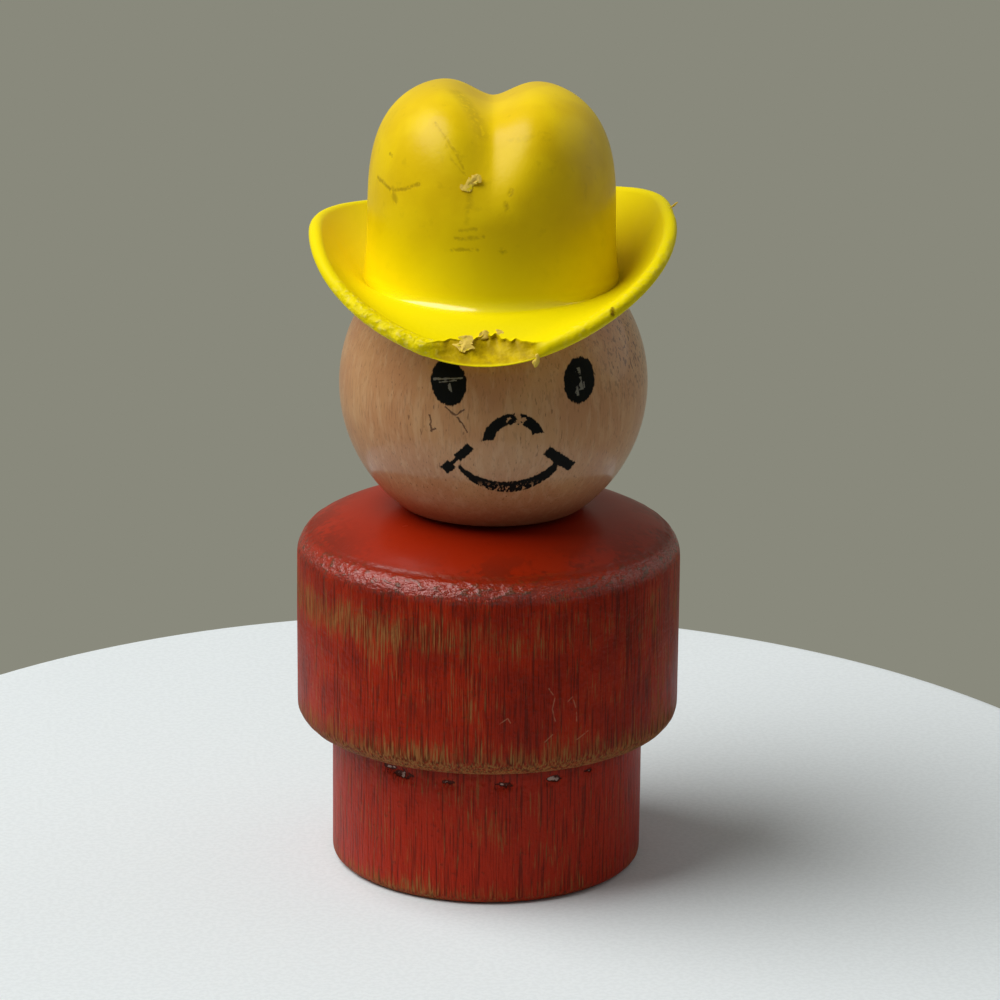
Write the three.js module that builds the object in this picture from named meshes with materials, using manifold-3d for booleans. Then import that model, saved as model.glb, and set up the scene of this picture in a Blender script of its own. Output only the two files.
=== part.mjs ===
// A wooden toy figure: a turned body, a ball head that turns on a neck dowel, and a moulded hat that
// turns on a peg in the head and lifts off. Millimetres, +Z up, the face towards -Y, and the origin
// at the centre of the base's underside.
import * as THREE from "three";
import { LoftGeometry } from "three/addons/geometries/LoftGeometry.js";
import { mergeVertices } from "three/addons/utils/BufferGeometryUtils.js";
import Module from "manifold-3d";

// Fits
const CLEARANCE = 0.3; // between pieces that turn, slide or seat on each other

// Body
const BASE_DIAMETER = 21.6;
const BASE_HEIGHT = 9.95;
const BASE_EDGE_ROUND = 0.7;
const TORSO_DIAMETER = 26.5;
const TORSO_EDGE_ROUND = 1.4;
const BODY_HEIGHT = 25.3;
const DOME_DIAMETER = 24.5; // the ring where the domed top meets the rounded shoulder
const DOME_RISE = 1.55; // from that ring to the neck's seat
const SHOULDER_ROUND_HEIGHT = 1.85;
const SHOULDER_FULLNESS = 0.75; // how far up the round its wall stays steep
const DOME_FULLNESS = 0.45; // how far in from the ring the dome reaches its full height
const NECK_SEAT_DIAMETER = 12.8;

// Neck dowel
const NECK_DOWEL_DIAMETER = 6;
const NECK_DOWEL_IN_BODY = 10;
const NECK_DOWEL_IN_HEAD = 7.5;
const DOWEL_CHAMFER = 0.4;

// Head
const HEAD_DIAMETER = 21.1;
const HEAD_FLAT_DIAMETER = 12.6;

// Hat peg
const PEG_DIAMETER = 4.5;
const PEG_IN_HEAD = 6;
const PEG_IN_HAT = 5;

// Hat, heights above the root of the brim, where the crown's wall would meet it
const HAT_ROOT_ABOVE_HEAD_CENTRE = 6.8;
const HAT_TURN_DEGREES = -8; // how the hat sits at rest, about the figure's axis
const CROWN_WIDTH = 16.8;
const CROWN_LENGTH = 18.2;
const CROWN_FLARE = 0.4; // how much wider the wall is at its foot
const CROWN_WALL_HEIGHT = 4.65;
const CROWN_DOME_HEIGHT = 9.5;
const CROWN_FULLNESS = 3; // 2 is an ellipse, more is squarer
const CROWN_SIDE_LEAN = 0.2; // the crown's left side stands this much higher, the right side lower
const SHELL_THICKNESS = 1.3;
const CREASE_DEPTH = 1.55;
const CREASE_HALF_WIDTH = 2.1;
const CREASE_SHARPNESS = 1.8; // 2 is a round valley, less is nearer a V
const CREASE_STARTS_DEGREES = [8, 44]; // above the front horizon, where it begins and is deepest
const CREASE_FADES_DEGREES = [115, 175]; // over the top towards the back
const BRIM_WIDTH = 24.6;
const BRIM_LENGTH = 27.2;
const BRIM_BULGE = 0.75; // how far its plan stands outside an ellipse between the ends and the sides
const BRIM_RIGHT_BULGE = 0.6; // added at its front right, most at a third of the way from side to front
const BRIM_THICKNESS = 1;
const BRIM_ROOT_ROUND = 1.3;
const RIM_FRONT_RISE = -1.1;
const RIM_SIDE_RISE = 5.15;
const RIM_SIDE_SHARPNESS = 2; // 2 is an even saddle, more keeps its front and back flatter
const RIM_BACK_RISE = 3.55;
const RIM_SIDE_LEAN = 0.55; // the brim's right side stands this much higher, the left side lower
const BRIM_CURL_FRONT = 1.25; // 1 is a straight slope, more turns up nearer the rim
const BRIM_CURL_SIDE = 1.7;
const BOSS_ABOVE_HEAD = 1.6;
const BOSS_WALL = 1;

// Facets
const TURNED_SIDES = 60;
const DOWEL_SIDES = 32;
const HAT_SIDES = 64;
const BODY_ARC_STEPS = 4;
const BALL_ARC_STEPS = 11;
const BRIM_STEPS = 5;
const RIM_STEPS = 4;
const ROOT_STEPS = 5;
const CROWN_STEPS = 13;
const INSIDE_STEPS = 8;

const wasm = await Module();
wasm.setup();

const { degToRad, lerp, smoothstep } = THREE.MathUtils;

// Revolves a profile of radius and height about the Z axis.
function turned(path, sides, arcSteps) {
  const geometry = new THREE.LatheGeometry(path.getPoints(arcSteps), sides);
  return geometry.rotateX(Math.PI / 2);
}

// A closed three.js geometry as a solid for cutting and joining.
function solid(geometry) {
  const bare = new THREE.BufferGeometry().copy(geometry);
  bare.deleteAttribute("normal");
  bare.deleteAttribute("uv");
  const merged = mergeVertices(bare, 1e-5);
  const corners = merged.index.array;
  const kept = [];
  for (let i = 0; i < corners.length; i += 3) {
    const [a, b, c] = [corners[i], corners[i + 1], corners[i + 2]];
    if (a !== b && b !== c && c !== a) {
      kept.push(a, b, c);
    }
  }
  return new wasm.Manifold(
    new wasm.Mesh({
      numProp: 3,
      vertProperties: merged.attributes.position.array,
      triVerts: new Uint32Array(kept),
    }),
  );
}

// A solid as a three.js geometry.
function surface(body) {
  const mesh = body.getMesh();
  const geometry = new THREE.BufferGeometry();
  geometry.setAttribute("position", new THREE.BufferAttribute(mesh.vertProperties, 3));
  geometry.setIndex(new THREE.BufferAttribute(mesh.triVerts, 1));
  geometry.computeVertexNormals();
  return geometry;
}

function piece(name, geometry, colour, roughness) {
  const material = new THREE.MeshStandardMaterial({ color: colour, roughness, metalness: 0 });
  const mesh = new THREE.Mesh(geometry, material);
  mesh.name = name;
  return mesh;
}

// A round bar along Z from low to high, with chamfered ends.
function dowel(diameter, low, high) {
  const radius = diameter / 2;
  const path = new THREE.Path();
  path.moveTo(0, low);
  path.lineTo(radius - DOWEL_CHAMFER, low);
  path.lineTo(radius, low + DOWEL_CHAMFER);
  path.lineTo(radius, high - DOWEL_CHAMFER);
  path.lineTo(radius - DOWEL_CHAMFER, high);
  path.lineTo(0, high);
  return turned(path, DOWEL_SIDES, 1);
}

// A plain round cutter or boss along Z from low to high.
function cylinder(radius, low, high) {
  const geometry = new THREE.CylinderGeometry(radius, radius, high - low, DOWEL_SIDES);
  return solid(geometry.rotateX(Math.PI / 2).translate(0, 0, (low + high) / 2));
}

// The body: base peg, barrel torso, rounded shoulder and domed top, bored for the neck dowel.
const neckBoreRadius = NECK_DOWEL_DIAMETER / 2 + CLEARANCE;
const neckBoreFloor = BODY_HEIGHT - NECK_DOWEL_IN_BODY - CLEARANCE;
const domeEdge = BODY_HEIGHT - DOME_RISE;
const wallTop = domeEdge - SHOULDER_ROUND_HEIGHT;

function bodyGeometry() {
  const base = BASE_DIAMETER / 2;
  const torso = TORSO_DIAMETER / 2;
  const dome = DOME_DIAMETER / 2;
  const seat = NECK_SEAT_DIAMETER / 2;
  const path = new THREE.Path();
  path.moveTo(0, 0);
  path.lineTo(base - BASE_EDGE_ROUND, 0);
  path.absarc(base - BASE_EDGE_ROUND, BASE_EDGE_ROUND, BASE_EDGE_ROUND, -Math.PI / 2, 0);
  path.lineTo(base, BASE_HEIGHT);
  path.lineTo(torso - TORSO_EDGE_ROUND, BASE_HEIGHT);
  path.absarc(torso - TORSO_EDGE_ROUND, BASE_HEIGHT + TORSO_EDGE_ROUND, TORSO_EDGE_ROUND, -Math.PI / 2, 0);
  path.lineTo(torso, wallTop);
  path.quadraticCurveTo(torso, lerp(wallTop, domeEdge, SHOULDER_FULLNESS), dome, domeEdge);
  path.quadraticCurveTo(lerp(dome, seat, DOME_FULLNESS), BODY_HEIGHT, seat, BODY_HEIGHT);
  path.lineTo(neckBoreRadius, BODY_HEIGHT);
  path.lineTo(neckBoreRadius, neckBoreFloor);
  path.lineTo(0, neckBoreFloor);
  return turned(path, TURNED_SIDES, BODY_ARC_STEPS);
}

// The head: a ball with a flat underside, bored from below and from above. Its origin is the ball's
// centre.
const headRadius = HEAD_DIAMETER / 2;
const headFlat = -Math.sqrt(headRadius ** 2 - (HEAD_FLAT_DIAMETER / 2) ** 2);
const headCentre = BODY_HEIGHT + CLEARANCE - headFlat;
const pegBoreRadius = PEG_DIAMETER / 2 + CLEARANCE;
const pegBoreFloor = headRadius - PEG_IN_HEAD - CLEARANCE;

function headGeometry() {
  const start = Math.asin(headFlat / headRadius);
  const end = Math.acos(pegBoreRadius / headRadius);
  const neckBoreTop = headFlat + NECK_DOWEL_IN_HEAD + CLEARANCE;
  const path = new THREE.Path();
  path.moveTo(0, neckBoreTop);
  path.lineTo(neckBoreRadius, neckBoreTop);
  path.lineTo(neckBoreRadius, headFlat);
  path.absarc(0, 0, headRadius, start, end);
  path.lineTo(pegBoreRadius, pegBoreFloor);
  path.lineTo(0, pegBoreFloor);
  return turned(path, TURNED_SIDES, BALL_ARC_STEPS);
}

// The hat's plan is an oval at every height: share 0 is the crown's wall, 1 is the rim, which bulges
// a little beyond an ellipse.
function ovalPoint(angle, share, inset, height) {
  const right = Math.max(Math.sin(angle), 0) ** 2 * Math.max(Math.sin(2 * angle), 0);
  const bulge = share * (BRIM_BULGE * Math.sin(2 * angle) ** 2 + BRIM_RIGHT_BULGE * right);
  const halfWidth = lerp(CROWN_WIDTH, BRIM_WIDTH, share) / 2 + bulge - inset;
  const halfLength = lerp(CROWN_LENGTH, BRIM_LENGTH, share) / 2 + bulge - inset;
  return new THREE.Vector3(halfWidth * Math.sin(angle), -halfLength * Math.cos(angle), height);
}

function ring(place) {
  return Array.from({ length: HAT_SIDES }, (_, i) => place((i / HAT_SIDES) * 2 * Math.PI));
}

function steps(count, from, to) {
  return Array.from({ length: count + 1 }, (_, i) => lerp(from, to, i / count));
}

// The crown's dome at an angle round the hat and a rise from 0 at the wall to a quarter turn at the
// top: a squared-off ellipsoid, pressed in along the middle by the crease.
function domePoint(angle, rise, inset) {
  const out = Math.cos(rise) ** (2 / CROWN_FULLNESS);
  const up = Math.sin(rise) ** (2 / CROWN_FULLNESS);
  const halfWidth = CROWN_WIDTH / 2 - inset;
  const halfLength = CROWN_LENGTH / 2 - inset;
  const x = halfWidth * out * Math.sin(angle);
  const y = -halfLength * out * Math.cos(angle);
  const z = (CROWN_DOME_HEIGHT - inset - CROWN_SIDE_LEAN * out * Math.sin(angle)) * up;
  const along = Math.atan2(z, -y);
  const [start, deepest] = CREASE_STARTS_DEGREES.map(degToRad);
  const [fade, end] = CREASE_FADES_DEGREES.map(degToRad);
  const shape = smoothstep(along, start, deepest) * (1 - smoothstep(along, fade, end));
  const press = CREASE_DEPTH * shape * Math.exp(-((Math.abs(x) / CREASE_HALF_WIDTH) ** CREASE_SHARPNESS));
  const kept = 1 - press / Math.max(Math.hypot(y, z), press);
  return new THREE.Vector3(x, y * kept, CROWN_WALL_HEIGHT + z * kept);
}

function domeRings(count, inset) {
  return steps(count, 0, Math.PI / 2).map((rise) => ring((angle) => domePoint(angle, rise, inset)));
}

function poleRing(height) {
  return ring(() => new THREE.Vector3(0, 0, height));
}

// The height of the brim's lower face at an angle and a share of the way out.
function brimHeight(angle, share) {
  const side = Math.abs(Math.sin(angle)) ** RIM_SIDE_SHARPNESS;
  const end = Math.cos(angle) > 0 ? RIM_FRONT_RISE : RIM_BACK_RISE;
  const rise = lerp(end, RIM_SIDE_RISE, side) + RIM_SIDE_LEAN * Math.sin(angle);
  const curl = lerp(BRIM_CURL_FRONT, BRIM_CURL_SIDE, side);
  return rise * Math.max(share, 0) ** curl - BRIM_THICKNESS;
}

function brimReach(angle) {
  return ovalPoint(angle, 1, 0, 0).distanceTo(ovalPoint(angle, 0, 0, 0));
}

// A point of the brim at a share of the way out, set off from the lower face along the slope and
// square to it.
function brimPoint(angle, share, along, square) {
  const reach = brimReach(angle);
  const step = 0.01;
  const slope = Math.atan2(brimHeight(angle, share) - brimHeight(angle, share - step), step * reach);
  const out = along * Math.cos(slope) - square * Math.sin(slope);
  const up = along * Math.sin(slope) + square * Math.cos(slope);
  return ovalPoint(angle, share + out / reach, 0, brimHeight(angle, share) + up);
}

// The round between the crown's wall and the brim, from the brim (0) to the wall (1).
function rootShare(angle) {
  return BRIM_ROOT_ROUND / brimReach(angle);
}

function rootPoint(angle, share) {
  const curve = new THREE.QuadraticBezierCurve3(
    brimPoint(angle, rootShare(angle), 0, BRIM_THICKNESS),
    ovalPoint(angle, 0, -CROWN_FLARE, 0),
    ovalPoint(angle, 0, -CROWN_FLARE * (1 - BRIM_ROOT_ROUND / CROWN_WALL_HEIGHT), BRIM_ROOT_ROUND),
  );
  return curve.getPoint(share);
}

// The whole outside of the hat, closed across its underside.
function hatOutside() {
  const half = BRIM_THICKNESS / 2;
  const rings = [poleRing(-BRIM_THICKNESS)];
  for (const share of steps(BRIM_STEPS, 0, 1)) {
    rings.push(ring((angle) => brimPoint(angle, share, 0, 0)));
  }
  for (const turn of steps(RIM_STEPS, -Math.PI / 3, Math.PI / 3)) {
    rings.push(ring((angle) => brimPoint(angle, 1, half * Math.cos(turn), half * (Math.sin(turn) + 1))));
  }
  for (const share of steps(BRIM_STEPS, 1, 0)) {
    rings.push(ring((angle) => brimPoint(angle, lerp(rootShare(angle), 1, share), 0, BRIM_THICKNESS)));
  }
  for (const share of steps(ROOT_STEPS, 0, 1).slice(1)) {
    rings.push(ring((angle) => rootPoint(angle, share)));
  }
  rings.push(...domeRings(CROWN_STEPS, 0));
  return solid(new LoftGeometry(rings));
}

// The space inside the crown, open below.
function hatInside() {
  const rings = [
    poleRing(-2 * BRIM_THICKNESS),
    ring((angle) => ovalPoint(angle, 0, SHELL_THICKNESS, -2 * BRIM_THICKNESS)),
    ...domeRings(INSIDE_STEPS, SHELL_THICKNESS),
  ];
  return solid(new LoftGeometry(rings));
}

// The hat: its shell, the ball-shaped seat under it, and the socket boss for the peg.
const headTop = headRadius - HAT_ROOT_ABOVE_HEAD_CENTRE;
const bossFoot = headTop + BOSS_ABOVE_HEAD;
const pegTop = bossFoot + PEG_IN_HAT;

function hatGeometry() {
  const seat = new THREE.SphereGeometry(headRadius + CLEARANCE, HAT_SIDES, HAT_SIDES / 2);
  seat.rotateX(Math.PI / 2).translate(0, 0, -HAT_ROOT_ABOVE_HEAD_CENTRE);
  const crownTop = CROWN_WALL_HEIGHT + CROWN_DOME_HEIGHT;
  const boss = cylinder(pegBoreRadius + BOSS_WALL, bossFoot, crownTop);
  const socket = cylinder(pegBoreRadius, headTop, pegTop + CLEARANCE);
  const hollow = hatInside().subtract(boss);
  return surface(hatOutside().subtract(hollow).subtract(solid(seat)).subtract(socket));
}

const dowelLow = BODY_HEIGHT - NECK_DOWEL_IN_BODY;
const dowelHigh = BODY_HEIGHT + CLEARANCE + NECK_DOWEL_IN_HEAD;
const pegLow = pegBoreFloor + CLEARANCE - HAT_ROOT_ABOVE_HEAD_CENTRE;

const hat = new THREE.Group();
hat.position.z = HAT_ROOT_ABOVE_HEAD_CENTRE;
hat.rotation.z = degToRad(HAT_TURN_DEGREES);
hat.add(piece("hat_peg", dowel(PEG_DIAMETER, pegLow, pegTop), 0xc9a873, 0.6));
hat.add(piece("hat", hatGeometry(), 0xe8c70c, 0.38));

const head = new THREE.Group();
head.position.z = headCentre;
head.add(piece("head", headGeometry(), 0xc2926b, 0.45));
head.add(hat);

const figure = new THREE.Group();
figure.add(piece("body", bodyGeometry(), 0xa8321e, 0.42));
figure.add(piece("neck_dowel", dowel(NECK_DOWEL_DIAMETER, dowelLow, dowelHigh), 0xc9a873, 0.6));
figure.add(head);

export default figure;
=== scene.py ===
"""Looks of a turned wooden toy figure with a moulded hat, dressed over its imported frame.

Sizes are in millimetres in the figure's own frame, +Z up and the face towards -Y, until a mesh or a
material takes them to metres. An angle round the figure is 0 at the front and grows towards +X.
"""
import logging
import math
from collections.abc import Callable, Iterable
from dataclasses import dataclass
from enum import Enum
from functools import reduce
from typing import Any, Union

import bpy
import numpy as np
from bpy.types import Material, NodeSocket, NodeTree, Object
from mathutils import Matrix, Quaternion, Vector
from numpy.typing import NDArray


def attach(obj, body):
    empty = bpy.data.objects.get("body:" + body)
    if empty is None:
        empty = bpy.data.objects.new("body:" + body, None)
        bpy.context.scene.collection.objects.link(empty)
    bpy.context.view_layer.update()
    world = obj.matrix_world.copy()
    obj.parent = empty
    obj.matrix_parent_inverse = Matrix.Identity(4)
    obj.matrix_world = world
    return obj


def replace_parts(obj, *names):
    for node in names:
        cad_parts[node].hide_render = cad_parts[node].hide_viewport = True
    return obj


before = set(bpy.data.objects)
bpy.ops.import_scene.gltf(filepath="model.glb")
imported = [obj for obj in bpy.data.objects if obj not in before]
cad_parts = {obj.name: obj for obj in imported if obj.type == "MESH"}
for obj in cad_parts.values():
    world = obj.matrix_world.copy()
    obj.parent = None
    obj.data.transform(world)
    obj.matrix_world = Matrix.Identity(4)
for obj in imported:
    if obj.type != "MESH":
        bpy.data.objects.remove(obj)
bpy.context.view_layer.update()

LOG = logging.getLogger("figure")
METRES = 0.001
BASE_RADIUS = 10.8
TORSO_RADIUS = 13.25
STEP_HEIGHT = 9.95
HEAD_CENTRE = 34.0624
HEAD_RADIUS = 10.55
HEAD_OFFSET = 0.22
HAT_MARKS = ("brim", "torn", "frayed", "pale", "root")

Grid = NDArray[np.float64]
Colour = tuple[int, int, int]
Pair = tuple[float, float]
Point = tuple[float, float, float]
Stroke = tuple[float, float, float, float]
Dash = tuple[float, float, float, float, float]
Value = Union["Shade", float]


class Ride(Enum):
    """The moving bodies that the pieces ride on."""

    BODY = "body"
    HEAD = "head"
    PEG = "hat_peg"
    HAT = "hat"


class Slot(Enum):
    """The record's material slots."""

    RED = "red_lacquered_wood"
    DOWEL = "dowel_wood"
    CLEAR = "clear_lacquered_wood"
    YELLOW = "yellow_plastic"


def linear(colour: Colour) -> tuple[float, float, float, float]:
    """Turns a screen colour of 0 to 255 into the linear one that a shader takes."""
    share = np.array(colour) / 255
    light = np.where(share <= 0.04045, share / 12.92, ((share + 0.055) / 1.055) ** 2.4)
    return (*light.tolist(), 1.0)


def smooth(value: Grid, low: float, high: float) -> Grid:
    """Steps smoothly from 0 at low to 1 at high, by 3t^2 - 2t^3."""
    share = np.clip((value - low) / (high - low), 0, 1)
    return share * share * (3 - 2 * share)


def steps(count: int) -> Grid:
    """A column of even shares from 0 to 1."""
    return np.linspace(0, 1, count)[:, None]


def lumps(points: Grid, pitch: float, seed: int, squash: float = 1.0) -> Grid:
    """Smooth random lumps between -1 and 1.

    Each corner of a cubic lattice has a value from a whole-number hash of its place, and a point takes
    the smoothly weighted mean of the eight corners round it.

    Args:
        points: Places in millimetres, with x, y and z last.
        pitch: Size of a lump in millimetres.
        seed: Picks one pattern of lumps.
        squash: Scales the heights first: a small value draws the lumps out upwards.

    Returns:
        One value for each point.
    """
    points = points * np.array([1, 1, squash])
    cell = np.floor(points / pitch).astype(np.int64)
    part = points / pitch - cell
    ease = part * part * (3 - 2 * part)
    total = np.zeros(points.shape[:-1])
    for corner in np.ndindex(2, 2, 2):
        key = cell + np.array(corner)
        code = key[..., 0] * 73856093 ^ key[..., 1] * 19349663 ^ key[..., 2] * 83492791 ^ seed * 40503
        code = ((code ^ code >> 13) & 0xFFFFFFFF) * 1274126177 & 0xFFFFFFFF
        value = ((code ^ code >> 15) & 0xFFFF) / 32767.5 - 1
        total += value * np.where(np.array(corner) == 1, ease, 1 - ease).prod(-1)
    return total


def closed_surface(
    name: str, rows: Grid, marks: dict[str, Grid] | None = None, open_end: bool = False
) -> Object:
    """Joins rings of points into one mesh with outward faces.

    The first ring shrinks to a pole and, unless the end is open, so does the last. Rings run once
    round, anticlockwise from above, and climb on the outside.

    Args:
        name: The piece's name.
        rows: Points in millimetres, shaped rings by columns by 3.
        marks: Values by name, shaped rings by columns, kept as attributes of the points.
        open_end: Leaves the last ring open.

    Returns:
        The new object, at the origin and linked to the scene.
    """
    rings, columns = rows.shape[:2]
    last = rings if open_end else rings - 1

    def flat(values: Grid) -> Grid:
        """Lists the values of a grid as the mesh holds its points."""
        ends = [] if open_end else [values[-1, :1]]
        return np.concatenate([values[0, :1], values[1:last].reshape(-1, *values.shape[2:]), *ends])

    index = 1 + np.arange((last - 1) * columns).reshape(last - 1, columns)
    after = np.roll(index, -1, axis=1)
    low_fan = np.stack([np.zeros(columns, int), after[0], index[0]], -1)
    quads = np.stack([index[:-1], after[:-1], after[1:], index[1:]], -1).reshape(-1, 4)
    high_fan = np.stack([index[-1], after[-1], np.full(columns, index[-1, -1] + 1)], -1)
    fans = low_fan if open_end else np.concatenate([low_fan, high_fan])
    points = flat(rows)
    mesh = bpy.data.meshes.new(name)
    mesh.vertices.add(len(points))
    mesh.vertices.foreach_set("co", (points * METRES).astype(np.float32).ravel())
    mesh.loops.add(fans.size + quads.size)
    mesh.loops.foreach_set("vertex_index", np.concatenate([fans.ravel(), quads.ravel()]).astype(np.int32))
    mesh.polygons.add(len(fans) + len(quads))
    starts = np.concatenate([3 * np.arange(len(fans)), fans.size + 4 * np.arange(len(quads))])
    mesh.polygons.foreach_set("loop_start", starts.astype(np.int32))
    mesh.polygons.foreach_set("use_smooth", np.ones(len(starts), bool))
    for key, values in (marks or {}).items():
        kept = mesh.attributes.new(key, "FLOAT", "POINT")
        kept.data.foreach_set("value", flat(values).astype(np.float32))
    mesh.update(calc_edges=True)
    mesh.validate()
    mesh.set_sharp_from_angle(angle=math.radians(50))
    piece = bpy.data.objects.new(name, mesh)
    bpy.context.scene.collection.objects.link(piece)
    return piece


def turned_profile(outline: Grid, corner: float, count: int) -> Grid:
    """Softens the corners of a half outline and picks stations along it.

    The outline is stepped evenly along its length and blurred by a bell curve, which rounds its
    corners. The stations lie closer together where it bends.

    Args:
        outline: Radius and height of each point, from the lower pole to the upper one.
        corner: Width of the bell curve in millimetres.
        count: How many stations to pick.

    Returns:
        Radius and height of each station.
    """
    step = 0.02
    length = np.concatenate([[0], np.cumsum(np.hypot(*np.diff(outline, axis=0).T))])
    even = np.linspace(0, length[-1], int(length[-1] / step))
    fine = np.stack([np.interp(even, length, outline[:, k]) for k in range(2)], -1)
    reach = int(4 * corner / step)
    bell = np.exp(-0.5 * (np.arange(-reach, reach + 1) * step / corner) ** 2)
    padded = np.pad(fine, ((reach, reach), (0, 0)), mode="reflect", reflect_type="odd")
    fine = np.stack([np.convolve(padded[:, k], bell / bell.sum(), "valid") for k in range(2)], -1)
    heading = np.unwrap(np.arctan2(*np.gradient(fine, axis=0).T[::-1]))
    bend = np.abs(np.gradient(heading, step))
    share = np.cumsum(1 + 3 * np.minimum(bend, 4))
    picks = np.linspace(share[0], share[-1], count)
    stations = np.stack([np.interp(picks, share, fine[:, k]) for k in range(2)], -1)
    stations[[0, -1], 0] = 0
    return stations


def arc(centre: Pair, radius: float, start: float, end: float, count: int = 40) -> Grid:
    """Points of a circle's arc between two angles in degrees, as radius and height."""
    turn = np.radians(np.linspace(start, end, count))
    return np.stack([centre[0] + radius * np.cos(turn), centre[1] + radius * np.sin(turn)], -1)


def bend(start: Pair, pull: Pair, end: Pair) -> Grid:
    """Points of the quadratic curve that leaves start towards pull and arrives at end from it."""
    t = steps(60)
    return (1 - t) ** 2 * np.array(start) + 2 * t * (1 - t) * np.array(pull) + t**2 * np.array(end)


def revolve(profile: Grid, sides: int) -> Grid:
    """Carries a profile of radius and height round the axis, as rings of points."""
    angle = np.linspace(0, 2 * np.pi, sides, endpoint=False)
    radius, height = profile[:, :1], profile[:, 1:]
    return np.stack([radius * np.sin(angle), -radius * np.cos(angle), height + 0 * angle], -1)


def math_step(operation: str, swapped: bool = False) -> Callable[..., "Shade"]:
    """Makes the method of Shade that adds the Math node of one operation, on self first unless swapped."""

    def method(self: "Shade", *others: Value) -> "Shade":
        """Adds the node."""
        terms = (*others, self) if swapped else (self, *others)
        return self.bench.node("ShaderNodeMath", {"operation": operation}, dict(enumerate(terms)))

    return method


class Shade:
    """A number that varies over a surface: a socket that takes part in Python arithmetic.

    Of two, least is the smaller and most the larger. The size is the number without its sign. The
    heading is the angle in radians whose sine side is self and cosine side is the other.
    """

    __add__ = math_step("ADD")
    __radd__ = math_step("ADD", swapped=True)
    __sub__ = math_step("SUBTRACT")
    __rsub__ = math_step("SUBTRACT", swapped=True)
    __mul__ = math_step("MULTIPLY")
    __rmul__ = math_step("MULTIPLY", swapped=True)
    __truediv__ = math_step("DIVIDE")
    least = math_step("MINIMUM")
    most = math_step("MAXIMUM")
    size = math_step("ABSOLUTE")
    root = math_step("SQRT")
    heading = math_step("ARCTAN2")

    def __init__(self, bench: "Bench", socket: NodeSocket) -> None:
        """Wraps an output socket of a node on the bench."""
        self.bench = bench
        self.socket = socket

    def __neg__(self) -> "Shade":
        """Gives -self."""
        return self * -1.0

    def hypot(self, other: "Shade") -> "Shade":
        """Gives the length of the two as sides of a right angle."""
        return (self * self + other * other).root()

    def ramp(self, low: Value, high: Value) -> "Shade":
        """Steps smoothly from 0 at low to 1 at high, which may be the smaller."""
        sockets = {"Value": self, "From Min": low, "From Max": high}
        return self.bench.node("ShaderNodeMapRange", {"interpolation_type": "SMOOTHSTEP"}, sockets)

    def near(self, middle: float, reach: float) -> "Shade":
        """Falls smoothly from 1 at the middle to 0 at the reach on either side."""
        return (self - middle).size().ramp(reach, 0.0)


def strongest(shades: Iterable[Shade]) -> Shade:
    """Gives the largest of some shades at each place."""
    return reduce(Shade.most, shades)


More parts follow.
